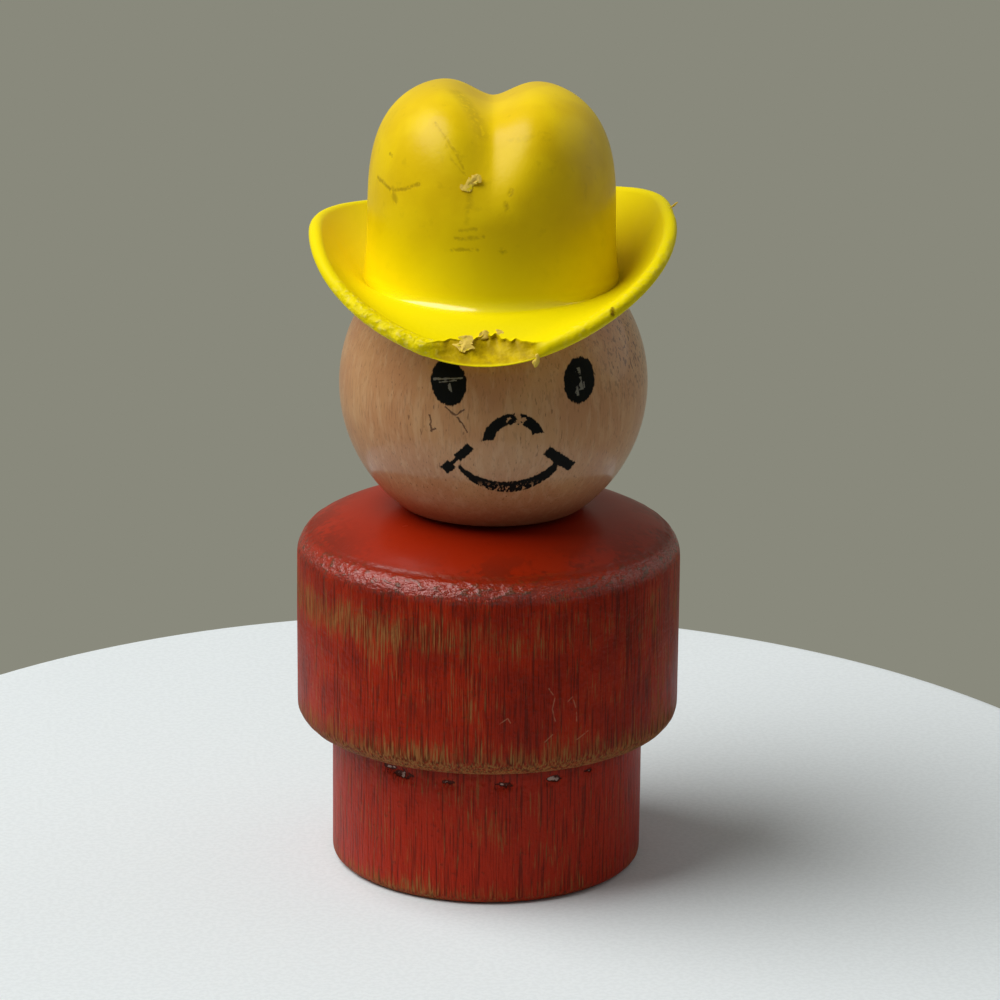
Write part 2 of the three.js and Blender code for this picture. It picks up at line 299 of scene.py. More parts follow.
class Bench:
    """The node tree of one finish, where its nodes are set out and joined."""

    def __init__(self, tree: NodeTree) -> None:
        """Clears the tree."""
        self.tree = tree
        self.tree.nodes.clear()

    @classmethod
    def of_material(cls, name: str) -> tuple[Material, "Bench"]:
        """Makes a material and the bench for its nodes."""
        material = bpy.data.materials.new(name)
        material.use_nodes = True
        return material, cls(material.node_tree)

    def node(
        self, kind: str, settings: dict[str, Any], sockets: dict[Any, Any], outlet: int | str = 0
    ) -> Shade:
        """Adds a node.

        Args:
            kind: Blender's name for the node's type.
            settings: The node's own settings, set first.
            sockets: A value or a link for each input, by its name or number.
            outlet: The output to return.

        Returns:
            The chosen output.
        """
        made = self.tree.nodes.new(kind)
        for key, value in settings.items():
            setattr(made, key, value)
        for key, value in sockets.items():
            if isinstance(value, Shade):
                self.tree.links.new(value.socket, made.inputs[key])
            else:
                made.inputs[key].default_value = value
        return Shade(self, made.outputs[outlet])

    def vector(self, operation: str, sockets: dict[Any, Any], outlet: int | str = 0) -> Shade:
        """Adds the Vector Math node of one operation."""
        return self.node("ShaderNodeVectorMath", {"operation": operation}, sockets, outlet)

    def place(self) -> Shade:
        """Gives the place on the piece in millimetres, as a vector."""
        there = self.node("ShaderNodeTexCoord", {}, {}, "Object")
        return self.vector("SCALE", {0: there, "Scale": 1 / METRES})

    def axes(self, vector: Shade) -> list[Shade]:
        """Splits a vector into its three numbers."""
        split = self.node("ShaderNodeSeparateXYZ", {}, {0: vector})
        return [Shade(self, output) for output in split.socket.node.outputs]

    def noise(self, vector: Shade, per_mm: Point, detail: float = 2.0, shift: float = 0.0) -> Shade:
        """Gives cloudy noise of about 0.3 to 0.7.

        Args:
            vector: The place in millimetres.
            per_mm: Lumps to a millimetre along each axis.
            detail: How many finer layers are added.
            shift: Moves the pattern along, to tell one noise from another.

        Returns:
            The noise.
        """
        stretched = self.vector("MULTIPLY_ADD", {0: vector, 1: per_mm, 2: (shift,) * 3})
        return self.node("ShaderNodeTexNoise", {}, {"Vector": stretched, "Scale": 1.0, "Detail": detail})

    def mark(self, name: str) -> Shade:
        """Gives a value that the mesh keeps for its points."""
        settings = {"attribute_type": "GEOMETRY", "attribute_name": name}
        return self.node("ShaderNodeAttribute", settings, {}, "Fac")

    def layers(self, under: Any, *coats: tuple[Value, Any]) -> Shade:
        """Lays coats over a colour, each by a share of 0 to 1.

        Args:
            under: The lowest colour, a screen colour or one from a node.
            coats: The share and the colour of each coat, from the lowest up.

        Returns:
            The colour that shows.
        """
        for share, over in coats:
            low, high = (tint if isinstance(tint, Shade) else linear(tint) for tint in (under, over))
            under = self.node("ShaderNodeMix", {"data_type": "RGBA"}, {0: share, 6: low, 7: high}, 2)
        return under

    def bump(self, height: Shade, depth: float) -> Shade:
        """Raises the surface by a height of 0 to 1 over a depth in millimetres."""
        sockets = {"Height": height, "Distance": depth * METRES, "Strength": 1.0}
        return self.node("ShaderNodeBump", {}, sockets)

    def shader(self, sockets: dict[str, Any]) -> Shade:
        """Adds a Principled shader."""
        return self.node("ShaderNodeBsdfPrincipled", {}, sockets)

    def blend(self, share: Shade, under: Shade, over: Shade) -> Shade:
        """Lays one shader over another by a share of 0 to 1."""
        return self.node("ShaderNodeMixShader", {}, {0: share, 1: under, 2: over})

    def end(self, shader: Shade, kind: str = "ShaderNodeOutputMaterial") -> None:
        """Ends the tree by joining a shader to an output node of a kind."""
        self.tree.links.new(shader.socket, self.tree.nodes.new(kind).inputs["Surface"])


def dash_distance(x: Shade, z: Shade, ends: tuple[float, ...], half: Value) -> Shade:
    """Distance outside a square-ended stroke: the larger of those along it and across it.

    Args:
        x: Place across, in millimetres.
        z: Place up, in millimetres.
        ends: Across and up at one end, then at the other.
        half: Half the stroke's width.

    Returns:
        The distance, below 0 inside the stroke.
    """
    ax, az, bx, bz = ends
    length = math.hypot(bx - ax, bz - az)
    ux, uz = (bx - ax) / length, (bz - az) / length
    dx, dz = x - (ax + bx) / 2, z - (az + bz) / 2
    return ((dx * ux + dz * uz).size() - length / 2).most((dz * ux - dx * uz).size() - half)


def stroke(x: Shade, z: Shade, ends: tuple[float, ...], half: Value) -> Shade:
    """Marks a thin stroke with soft edges: 1 on it and 0 off it."""
    return dash_distance(x, z, ends, half).ramp(0.03, -0.03)


@dataclass(frozen=True)
class RedLacquer:
    """Red lacquer on turned wood, rubbed through at the edges and along the raised grain.

    A chip is an angle in degrees, a height and a half width. A scratch is an angle and a height at each
    end.
    """

    paint: Colour = (162, 37, 8)
    deep_paint: Colour = (140, 30, 7)
    top_paint: Colour = (158, 34, 4)
    base_paint: Colour = (162, 37, 13)
    bare_wood: Colour = (143, 111, 63)
    dark_wood: Colour = (76, 52, 27)
    # Soil colour, also laid as painted shade on the dome, in its ring groove and round the step.
    soil_and_shade: Colour = (54, 20, 9)
    # Chip colours: painted shadow in the hollow, and pale bared wood with a painted glint in the core.
    chip_painted_shadow: Colour = (60, 26, 17)
    chip_core_and_glint: Colour = (182, 152, 140)
    scratch: Colour = (196, 142, 108)
    foot_top: float = 2.3
    patch_angle: float = -0.11
    patch_height: float = 5.6
    fringe: Pair = (13.4, 10.4)
    band_height: float = 19.8
    rubbed_top: Pair = (23.0, 22.1)
    wall_top: Pair = (23.4, 22.4)
    shoulder_height: float = 23.05
    ring_height: float = 23.72
    chip_flatness: float = 2.8
    chips: tuple[Point, ...] = (
        (-45.5, 9.1, 0.6),
        (-40.5, 8.9, 0.95),
        (-22.3, 8.75, 0.5),
        (-1.3, 8.7, 0.65),
        (16.7, 8.86, 0.6),
        (32.4, 8.9, 0.4),
    )
    scratches: tuple[Stroke, ...] = (
        (-4.5, 13.95, -2.0, 14.35),
        (-2.0, 14.35, -1.2, 14.0),
        (10.0, 16.3, 12.0, 15.6),
        (12.0, 15.6, 11.2, 14.8),
        (11.2, 14.8, 12.2, 13.9),
        (16.0, 15.2, 17.5, 15.5),
        (17.5, 15.5, 18.8, 14.6),
        (18.8, 14.6, 19.0, 13.7),
        (9.0, 12.5, 11.5, 13.0),
        (19.0, 12.4, 23.0, 12.9),
    )

    def rubbing(self, angle: Shade, z: Shade) -> Shade:
        """How hard it is rubbed: a band under the shoulder, the torso's lower edge, the foot and a patch.

        Args:
            angle: Angle round the figure in radians.
            z: Height in millimetres.

        Returns:
            The rubbing, from 0 to about 2.5.
        """
        left = angle.ramp(0.15, -0.6) * angle.ramp(-3.1, -2.2)
        right = angle.ramp(0.35, 0.8) * angle.ramp(3.1, 2.2)
        right = right * z.ramp(STEP_HEIGHT - 0.15, STEP_HEIGHT + 0.05)
        fringe = z.ramp(*self.fringe) * z.ramp(STEP_HEIGHT - 0.25, STEP_HEIGHT)
        band = z.near(self.band_height, 2.4) * (0.6 + 1.3 * left)
        foot = z.ramp(self.foot_top, 0.2) * (1.1 + 1.0 * left)
        patch = angle.near(self.patch_angle, 0.2) * z.near(self.patch_height, 2.0)
        return 2.4 * fringe + band + foot + 1.7 * patch + 0.45 * right

    def chipped(self, angle: Shade, z: Shade, ragged: Shade) -> Shade:
        """Depth inside the chips under the step: ellipses with an edge shaken by the ragged noise."""

        def chip(middle: float, level: float, half: float) -> Shade:
            """Depth inside one chip."""
            across = (angle - math.radians(middle)) * (BASE_RADIUS / half)
            return 1.0 - across.hypot((z - level) * (self.chip_flatness / half)) + (ragged - 0.5) * 2.6

        return strongest(chip(*row) for row in self.chips)

    def scratched(self, angle: Shade, z: Shade, ragged: Shade) -> Shade:
        """Marks the thin scratches, as strokes on the unrolled torso that the noise breaks up."""
        around, half = angle * TORSO_RADIUS, 0.034 * (ragged + 0.5)
        unrolled = math.radians(1) * TORSO_RADIUS
        lines = ((start * unrolled, low, end * unrolled, high) for start, low, end, high in self.scratches)
        return strongest(stroke(around, z, line, half) for line in lines) * ragged.ramp(0.34, 0.5)

    def material(self) -> Material:
        """Builds the finish: paint, bare wood where it is rubbed, soiled grain, chips with a painted shadow
        and glint, painted shade on the dome and round the step, and pits.
        """
        material, bench = Bench.of_material("red_lacquer")
        place = bench.place()
        x, y, z = bench.axes(place)
        angle = x.heading(-y)
        grain = bench.noise(place, (5.5, 5.5, 0.3), 3.0)
        hair = bench.noise(place, (9.5, 9.5, 0.55), 2.0, 11.0)
        line = bench.noise(place, (6.5, 6.5, 0.25), 2.0, 41.0)
        cloud = bench.noise(place, (0.34, 0.34, 0.3), 3.0, 5.0)
        ragged = bench.noise(place, (2.6, 2.6, 2.6), 3.0, 3.0)
        pits = bench.noise(place, (1.5, 1.5, 3.6), 4.0, 23.0)
        wall = z.ramp(*self.wall_top)
        below = z.ramp(*self.rubbed_top)
        shoulder = z.near(self.shoulder_height, 1.1)
        rubbing = self.rubbing(angle, z)
        film = rubbing + 3.0 * (cloud - 0.5) + 2.0 * (ragged - 0.5)
        film = (film + 4.0 * (grain - 0.5) + 3.0 * (hair - 0.5)).ramp(0.2, 2.4) * below
        streaks = 6.0 * (grain - 0.5) + 6.0 * (hair - 0.5) + 4.0 * (cloud - 0.5)
        bare = (streaks + rubbing - 1.75).ramp(-0.5, 0.9) * below
        chip = self.chipped(angle, z, ragged)
        crater = chip.ramp(0.1, 0.3)
        # Painted shade: darker patches on the dome that stay off its lit left front, and a darker band round
        # the step where shade falls under the torso, partly soil.
        shaded_dome_mottle = (cloud + 0.7 * (ragged - 0.5)).ramp(0.4, 0.58) * (1.0 - angle.near(-0.7, 0.6))
        soil_and_painted_shade = 0.4 * z.near(23.9, 1.3) * shaded_dome_mottle + 0.35 * z.near(9.5, 0.8)
        paint = bench.layers(
            self.deep_paint,
            (cloud.ramp(0.36, 0.62), self.paint),
            (z.ramp(STEP_HEIGHT, STEP_HEIGHT - 0.4), self.base_paint),
        )
        wood = bench.layers(self.dark_wood, ((hair + 0.8 * (line - 0.5)).ramp(0.34, 0.62), self.bare_wood))
        colour = bench.layers(
            self.top_paint,
            (wall, paint),
            # Painted shade on the dome's unlit sides and round the step, and in the ring groove, partly soil
            # there.
            (soil_and_painted_shade.most(z.near(self.ring_height, 0.3) * 0.3), self.soil_and_shade),
            (line.ramp(0.5, 0.34) * wall * 0.6, self.soil_and_shade),
            (ragged.ramp(0.6, 0.74) * (0.1 + 0.3 * wall), self.soil_and_shade),
            ((0.42 * film).most((0.45 + 0.11 * rubbing) * bare), wood),
            ((hair + 0.4 * (cloud - 0.5)).ramp(0.61, 0.74) * wall * 0.3, self.bare_wood),
            (shoulder * pits.ramp(0.53, 0.64) * 0.7, self.dark_wood),
            (self.scratched(angle, z, ragged) * 0.42, self.scratch),
            # Painted shadow darkens each chip's hollow; its core is pale bared wood, lightened further as a
            # painted glint.
            (crater * 0.9, self.chip_painted_shadow),
            (chip.ramp(0.5, 0.7) * ragged.ramp(0.42, 0.55) * 0.9, self.chip_core_and_glint),
        )
        height = wall * (0.6 * line + 0.45 * hair + 0.6 * ragged) - 0.2 * bare + 2.0 * shoulder * pits
        height = height - 0.6 * crater - 0.2 * z.near(self.ring_height, 0.2)
        rough = 0.2 * (cloud - 0.5) + 0.2 * bare
        gloss = 0.4 - 0.34 * wall + 0.14 * wall * angle.size().ramp(0.6, 1.3)
        both = {"Base Color": colour, "Normal": bench.bump(height, 0.16)}
        matt = bench.shader(both | {"Roughness": 0.5 + rough, "Specular IOR Level": 0.06})
        glossy = bench.shader(both | {"Roughness": 0.23 + rough, "Specular IOR Level": 0.8})
        bench.end(bench.blend((1.0 - film) * gloss.most(0.9 * shoulder), matt, glossy))
        return material


@dataclass(frozen=True)
class FaceInk:
    """The printed face, drawn on the front of the ball in millimetres across and above its centre.

    A dash is its two ends and its width.
    """

    eyes: tuple[Pair, ...] = ((-4.27, 2.5), (4.45, 2.43))
    eye_half: Pair = (1.11, 1.48)
    nose: Point = (-0.05, -1.46, 1.74)
    nose_foot: float = -1.0
    nose_stroke: float = 0.7
    smile: Point = (-0.29, -0.34, 4.4)
    smile_half: float = 3.3
    dashes: tuple[Dash, ...] = (
        (-4.5, -3.62, -4.02, -3.05, 0.7),
        (-4.1, -3.1, -3.5, -2.35, 0.26),
        (-3.72, -2.62, -2.9, -1.7, 0.58),
        (2.2, -2.1, 4.08, -3.6, 0.72),
    )
    rubs: tuple[Dash, ...] = (
        (-5.25, 2.66, -3.4, 2.9, 0.045),
        (-4.9, 2.5, -3.75, 2.72, 0.03),
        (-4.25, 2.5, -4.15, 1.95, 0.06),
        (4.4, 3.25, 4.5, 2.8, 0.08),
        (4.5, 2.65, 4.6, 1.8, 0.12),
        (4.28, 2.1, 4.36, 1.45, 0.06),
        (4.75, 2.3, 4.8, 1.9, 0.05),
    )
    gaps: tuple[Dash, ...] = (
        (0.12, 0.7, 0.3, -0.2, 0.17),
        (0.3, 0.1, 0.75, 0.25, 0.1),
        (-0.6, 0.1, -0.3, 0.35, 0.07),
    )

    def oval(self, x: Shade, z: Shade, centre: Pair) -> Shade:
        """Distance outside an eye: an ellipse's radius share, times its smaller half."""
        wide, tall = self.eye_half
        return (((x - centre[0]) / wide).hypot((z - centre[1]) / tall) - 1.0) * wide

    def bow(self, x: Shade, z: Shade, circle: Point, half: Value) -> Shade:
        """Distance outside a line of some half width along a circle."""
        return ((x - circle[0]).hypot(z - circle[1]) - circle[2]).size() - half

    def distance(self, x: Shade, z: Shade) -> Shade:
        """Distance outside the nearest ink in millimetres, below 0 inside it.

        The smile is thickest in the middle and thins to its ends, most at the left.

        Args:
            x: Millimetres across the face.
            z: Millimetres above the ball's centre.

        Returns:
            The distance.
        """
        ink = self.oval(x, z, self.eyes[0]).least(self.oval(x, z, self.eyes[1]))
        ink = ink.least(self.bow(x, z, self.nose, self.nose_stroke / 2).most(self.nose_foot + 0.12 * x - z))
        across = x - self.smile[0]
        half = 0.41 - 0.021 * across * across + 0.022 * across
        smile = self.bow(x, z, self.smile, half).most(across.size() - self.smile_half).most(z + 2.4)
        ink = ink.least(smile)
        for *ends, width in self.dashes:
            ink = ink.least(dash_distance(x, z, tuple(ends), width / 2))
        return ink

    def scored(self, x: Shade, z: Shade, ragged: Shade, lines: tuple[Dash, ...]) -> Shade:
        """Marks some thin scratches across the ink, with shaken widths."""
        shaken, width = x + 0.3 * (ragged - 0.5), 6.0 * ragged - 2.0
        return strongest(stroke(shaken, z, tuple(ends), half * width) for *ends, half in lines)


@dataclass(frozen=True)
class ClearLacquer:
    """Clear lacquer on pale wood, with vertical grain, dark pores, the printed face and painted red bounce
    light low on the ball.
    """

    wood: Colour = (201, 152, 104)
    pale_wood: Colour = (213, 171, 128)
    rosy_wood: Colour = (191, 136, 92)
    pore: Colour = (84, 50, 30)
    painted_red_bounce: Colour = (150, 74, 48)
    ink: Colour = (13, 14, 12)
    rubbed_ink: Colour = (150, 146, 136)
    face: FaceInk = FaceInk()
    cracks: tuple[Stroke, ...] = (
        (-4.55, 0.95, -3.9, 0.42),
        (-3.9, 0.42, -3.35, 0.85),
        (-3.75, 0.3, -3.4, -0.2),
        (-3.4, -0.2, -3.1, -0.75),
        (-5.5, 0.3, -5.35, -0.9),
        (-5.45, -0.85, -5.1, -0.6),
    )

    def cracked(self, x: Shade, z: Shade, ragged: Shade) -> Shade:
        """Marks the short cracks in the lacquer beside the eye, as thin shaken strokes."""
        shaken, half = x + 0.4 * (ragged - 0.5), 0.12 * ragged
        return strongest(stroke(shaken, z, ends, half) for ends in self.cracks)

    def material(self) -> Material:
        """Builds the finish: grain, pores, cracks and the ink with its scratches and worn edges."""
        material, bench = Bench.of_material("clear_lacquer")
        place = bench.place()
        x, y, height = bench.axes(place)
        x, z = x - HEAD_OFFSET, height - HEAD_CENTRE
        grain = bench.noise(place, (2.2, 2.2, 0.45), 4.0)
        hair = bench.noise(place, (8.0, 8.0, 1.1), 2.0, 7.0)
        cloud = bench.noise(place, (0.2, 0.2, 0.14), 2.0, 2.0)
        pore = bench.noise(place, (6.0, 6.0, 1.4), 1.0, 17.0)
        speck = bench.noise(place, (4.4, 4.4, 2.4), 1.0, 31.0)
        ragged = bench.noise(place, (3.6, 3.6, 3.6), 3.0, 13.0)
        right = x.heading(-y).near(1.1, 0.75) * z.ramp(-1.5, 3.0)
        front = y.ramp(-3.0, -5.0)
        crack = self.cracked(x, z, ragged) * front
        edge = self.face.distance(x, z) + 0.2 * (ragged - 0.5) + 0.2 * (hair - 0.5)
        frayed = z.ramp(-4.2, -4.9) * (hair + 0.8 * (ragged - 0.5)).ramp(0.57, 0.65)
        gap = self.face.scored(x, z, ragged, self.face.gaps)
        inked = edge.ramp(0.05, -0.03) * front * (1.0 - frayed.most(gap) * 0.9)
        rub = self.face.scored(x, z, ragged, self.face.rubs)
        colour = bench.layers(
            self.rosy_wood,
            (cloud.ramp(0.36, 0.64), self.wood),
            (grain.ramp(0.46, 0.66) * 0.4, self.pale_wood),
            (hair.ramp(0.46, 0.32) * 0.2, self.pore),
            ((pore + 0.04 * right).ramp(0.68, 0.77) * 0.5, self.pore),
            # Painted red bounce light from the body, on the underside of the ball.
            (z.ramp(-4.5, -8.8) * 0.35, self.painted_red_bounce),
            (speck.ramp(0.56, 0.66) * right * 0.75, self.pore),
            (crack * 0.85, self.pore),
            (inked, bench.layers(self.ink, (rub * 0.7, self.rubbed_ink))),
        )
        both = {"Base Color": colour, "Normal": bench.bump(0.4 * grain + 0.3 * hair - 0.6 * crack, 0.05)}
        lacquer = {"Roughness": 0.42 + 0.2 * (grain - 0.5), "Specular IOR Level": 0.2}
        coat = {"Coat Weight": 0.45, "Coat Roughness": 0.15}
        ink = {"Roughness": 0.55, "Specular IOR Level": 0.08}
        bench.end(bench.blend(inked, bench.shader(both | lacquer | coat), bench.shader(both | ink)))
        return material


@dataclass(frozen=True)
class Scuff:
    """A mark along a broken line in space, with its half width and strength: a rubbed scuff, and in one case
    painted shade along the crease.
    """

    points: tuple[Point, ...]
    half: float
    strength: float


@dataclass(frozen=True)
class MouldedPlastic:
    """Yellow moulded plastic, satin, scuffed on the crown and torn at the rim, with painted light on the
    brim and painted shade in the crease and on the torn face.
    """

    yellow: Colour = (244, 209, 1)
    deep_yellow: Colour = (235, 198, 1)
    lit_brim_lemon: Colour = (248, 228, 3)
    torn: Colour = (216, 184, 4)
    torn_shade: Colour = (172, 140, 2)
    frayed: Colour = (246, 228, 110)
    pale: Colour = (236, 203, 88)
    grime_and_shade: Colour = (116, 82, 4)
    scuffs_and_shade: tuple[Scuff, ...] = (
        Scuff(((-8.02, -2.37, 49.03), (-7.63, -3.67, 48.76), (-7.26, -4.53, 48.53)), 0.13, 0.5),
        Scuff(((-7.26, -4.53, 48.53), (-6.53, -5.64, 48.9), (-5.76, -6.43, 49.39)), 0.12, 0.45),
        Scuff(((-7.26, -4.53, 48.53), (-7.13, -4.88, 47.93)), 0.26, 0.4),
        Scuff(((-4.58, -5.06, 53.21), (-4.02, -6.14, 52.51), (-3.51, -6.83, 51.73)), 0.09, 0.25),
        Scuff(((-3.51, -6.83, 51.73), (-2.93, -7.49, 50.57)), 0.09, 0.25),
        Scuff(((-4.24, -5.74, 52.83), (-3.68, -7.16, 51.12), (-2.82, -7.7, 50.15)), 0.08, 0.2),
        Scuff(((-3.78, -8.22, 45.31), (-2.17, -8.83, 45.42)), 0.11, 0.35),
        Scuff(((-3.53, -8.3, 46.07), (-1.82, -8.85, 46.26)), 0.14, 0.35),
        Scuff(((-3.28, -8.39, 46.62), (-2.27, -8.72, 46.81)), 0.11, 0.3),
        Scuff(((-2.75, -8.4, 47.2), (-2.6, -8.3, 48.9)), 0.22, 0.22),
        Scuff(((-0.25, -8.7, 48.44), (-0.2, -8.75, 48.1)), 0.17, 0.4),
        Scuff(((0.02, -8.55, 49.03), (0.1, -8.5, 49.3)), 0.13, 0.35),
        Scuff(((-0.7, -9.08, 45.4), (-0.4, -9.1, 45.3)), 0.16, 0.35),
        Scuff(((-7.3, -3.41, 50.82), (-7.15, -3.7, 50.7)), 0.1, 0.45),
        Scuff(((6.25, -12.65, 42.2), (6.2, -12.85, 41.85)), 0.15, 0.9),
        # Painted shade: a wide faint smudge down the left wall of the crown's crease, where the crease is in
        # shade.
        Scuff(((-2.58, -1.55, 54.45), (-2.0, -3.6, 53.9), (-1.5, -5.6, 52.4)), 0.55, 0.2),
    )

    def scuffed_and_shaded(self, bench: Bench, place: Shade, shake: Shade) -> Shade:
        """Marks the scuffs and the crease's painted shade: strokes round line segments in space, with shaken
        edges.

        Args:
            bench: The finish's bench.
            place: The place in millimetres.
            shake: Noise about 0.5.

        Returns:
            The strength of the scuffs and the painted shade at each place.
        """

        def rubbed(start: Point, end: Point, half: float, strength: float) -> Shade:
            """Marks one straight piece of a scuff."""
            line = Vector(end) - Vector(start)
            offset = bench.vector("SUBTRACT", {0: place, 1: start})
            unit = tuple(line / line.length_squared)
            share = bench.vector("DOT_PRODUCT", {0: offset, 1: unit}, "Value").most(0.0).least(1.0)
            foot = bench.vector("SCALE", {0: tuple(line), "Scale": share})
            gap = bench.vector("DISTANCE", {0: offset, 1: foot}, "Value")
            return (gap + 0.3 * (shake - 0.5)).ramp(1.7 * half, 0.2 * half) * strength

        return strongest(
            rubbed(start, end, scuff_and_shade.half, scuff_and_shade.strength)
            for scuff_and_shade in self.scuffs_and_shade
            for start, end in zip(scuff_and_shade.points, scuff_and_shade.points[1:])
        )

    def material(self) -> Material:
        """Builds the finish: a faint mottle, the brim's painted light, scuffs and the crease's painted
        shade, the torn rim with painted shade, its fraying and the pale shreds.
        """
        material, bench = Bench.of_material("yellow_plastic")
        place = bench.place()
        cloud = bench.noise(place, (0.3, 0.3, 0.3), 2.0)
        fine = bench.noise(place, (2.9, 2.9, 2.9), 4.0, 9.0)
        patch = bench.noise(place, (1.1, 1.1, 1.1), 3.0, 19.0)
        shake = bench.noise(place, (2.4, 2.4, 2.4), 3.0, 29.0)
        brim, torn, frayed, pale, root = (bench.mark(name) for name in HAT_MARKS)
        scuff_and_shade = self.scuffed_and_shaded(bench, place, shake)
        colour = bench.layers(
            self.deep_yellow,
            (cloud.ramp(0.38, 0.62), self.yellow),
            # Painted light: the brim, lit from above, is painted a lighter lemon that fades up the crown's
            # wall.
            (brim, self.lit_brim_lemon),
            (patch.ramp(0.6, 0.74) * 0.1 * (1.0 - brim), self.grime_and_shade),
            # Grime along the scuffs, and painted shade along the crease's left wall.
            (scuff_and_shade * fine.ramp(0.32, 0.54), self.grime_and_shade),
            # Painted shade: the torn face, which looks forward and down, is painted darker than the yellow,
            # with deeper patches of painted shade by the noise.
            (torn * 0.9, bench.layers(self.torn_shade, (patch.ramp(0.34, 0.66), self.torn))),
            (frayed * fine.ramp(0.52, 0.64) * 0.45, self.frayed),
            (pale * fine.ramp(0.3, 0.5), self.pale),
        )
        height = fine * (0.16 + 0.6 * torn + 1.3 * frayed) - 0.3 * scuff_and_shade
        rough = 0.2 * (cloud - 0.5)
        both = {"Base Color": colour, "Normal": bench.bump(height, 0.09)}
        matt = {"Roughness": 0.48 + rough, "Specular IOR Level": 0.06}
        satin = {"Roughness": 0.35 + rough + 0.15 * scuff_and_shade - 0.17 * root, "Specular IOR Level": 0.2}
        coat = {"Coat Weight": root, "Coat Roughness": 0.1}
        share = (1.0 - 0.85 * brim).most(root)
        bench.end(bench.blend(share, bench.shader(both | matt), bench.shader(both | satin | coat)))
        return material


@dataclass(frozen=True)
class DowelWood:
    """Bare birch dowel with long fine grain."""

    wood: Colour = (206, 172, 120)
    late_wood: Colour = (168, 126, 78)

    def material(self) -> Material:
        """Builds the finish: pale and dark bands along the length and fine hairs."""
        material, bench = Bench.of_material("dowel_wood")
        place = bench.place()
        grain = bench.noise(place, (1.8, 1.8, 0.1), 3.0)
        hair = bench.noise(place, (8.0, 8.0, 0.5), 2.0, 4.0)
        share = (grain + 0.5 * (hair - 0.5)).ramp(0.38, 0.62)
        colour = bench.layers(self.late_wood, (share, self.wood))
        rough = 0.55 + 0.3 * (grain - 0.5)
        normal = bench.bump(0.5 * grain + 0.5 * hair, 0.06)
        bench.end(bench.shader({"Base Color": colour, "Roughness": rough, "Normal": normal}))
        return material


def dress(piece: Object, finish: Material, ride: Ride) -> Object:
    """Gives a piece its finish and the body that it rides on."""
    piece.data.materials.append(finish)
    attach(piece, ride.value)
    return piece


@dataclass
class TurnedBody:
    """The turned body: base peg, barrel torso, rounded shoulder, domed top and the neck's bore."""

    base_radius: float = BASE_RADIUS
    base_round: float = 0.7
    step_height: float = STEP_HEIGHT
    torso_radius: float = TORSO_RADIUS
    torso_round: float = 1.4
    wall_top: float = 21.9
    ring_height: float = 23.75
    ring_radius: float = 12.25
    top_height: float = 25.3
    seat_radius: float = 6.4
    bore_radius: float = 3.3
    bore_floor: float = 15.0
    corner: float = 0.07
    chip_depth: float = 0.2
    chip_flatness: float = 2.3
    worn_edges: tuple[Pair, ...] = ((23.2, 0.9), (10.4, 0.7))
    stations: int = 270
    sides: int = 320
    finish: RedLacquer = RedLacquer()

    def outline(self) -> Grid:
        """Half outline as radius and height, from the underside to the floor of the bore."""
        foot = (self.base_radius - self.base_round, self.base_round)
        edge = (self.torso_radius - self.torso_round, self.step_height + self.torso_round)
        rounding = self.wall_top + 0.75 * (self.ring_height - self.wall_top)
        doming = self.ring_radius + 0.45 * (self.seat_radius - self.ring_radius)
        ring = (self.ring_radius, self.ring_height)
        bore = [(self.bore_radius, self.top_height), (self.bore_radius, self.bore_floor)]
        return np.concatenate(
            [
                [(0, 0)],
                arc(foot, self.base_round, -90, 0),
                [(self.base_radius, self.step_height)],
                arc(edge, self.torso_round, -90, 0),
                bend((self.torso_radius, self.wall_top), (self.torso_radius, rounding), ring),
                bend(ring, (doming, self.top_height), (self.seat_radius, self.top_height)),
                [*bore, (0, self.bore_floor)],
            ]
        )

    def dents(self, rows: Grid) -> Grid:
        """Depth of the chips under the step: a bell over each chip's angle and height."""
        angle = np.arctan2(rows[..., 0], -rows[..., 1])
        depth = np.zeros(rows.shape[:2])
        for middle, level, half in self.finish.chips:
            across = (angle - math.radians(middle)) * self.base_radius / half
            up = (rows[..., 2] - level) * self.chip_flatness / half
            depth += self.chip_depth * np.exp(-(across**2) - up**2)
        return depth

    def surface(self) -> Grid:
        """Rings of the revolved outline, drawn in by worn dips at the edges, wrinkles and chips."""
        rows = revolve(turned_profile(self.outline(), self.corner, self.stations), self.sides)
        height = rows[..., 2]
        radius = np.hypot(rows[..., 0], rows[..., 1])
        edges = sum(np.exp(-(((height - level) / reach) ** 2)) for level, reach in self.worn_edges)
        dips = 0.5 + 0.5 * lumps(rows, 2.1, 4, 0.7)
        wrinkles = 0.03 * edges * (1 + lumps(rows, 0.9, 12, 1.6))
        grooves = 0.02 * (1 + lumps(rows, 0.9, 8, 0.15))
        inward = 0.1 * edges * dips**2 + wrinkles + grooves + self.dents(rows)
        rows[..., :2] *= (1 - smooth(radius, 8.0, 10.0) * inward / np.maximum(radius, 1))[..., None]
        return rows

    def build(self) -> list[Object]:
        """Makes the body in place of its solid."""
        piece = closed_surface("turned_body", self.surface())
        return [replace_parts(dress(piece, self.finish.material(), Ride.BODY), "body")]


